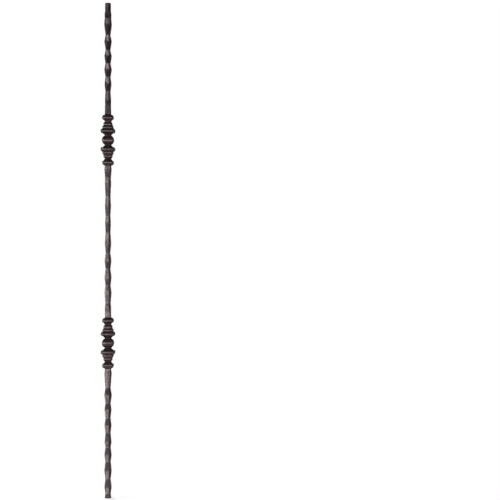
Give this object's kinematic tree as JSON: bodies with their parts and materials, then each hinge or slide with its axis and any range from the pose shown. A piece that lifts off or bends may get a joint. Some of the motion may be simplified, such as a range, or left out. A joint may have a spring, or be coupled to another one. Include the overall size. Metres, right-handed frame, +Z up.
{
  "type": "stair baluster",
  "caption": "Upright hammered square iron bar with square-turned knuckles of beads, coves and a ball, dark satin coat, stands between a stair tread and a handrail.",
  "frame": {"origin": "middle of the sawn end face of the foot", "axes": "+Z up along the bar towards the handrail, -Y the front face, +X to the right seen from the front"},
  "size_m": [0.0328, 0.0328, 1.1176],
  "materials": {
    "coat": "satin powder coat"
  },
  "bodies": {
    "root": {"baluster": "coat"}
  },
  "joints": []
}
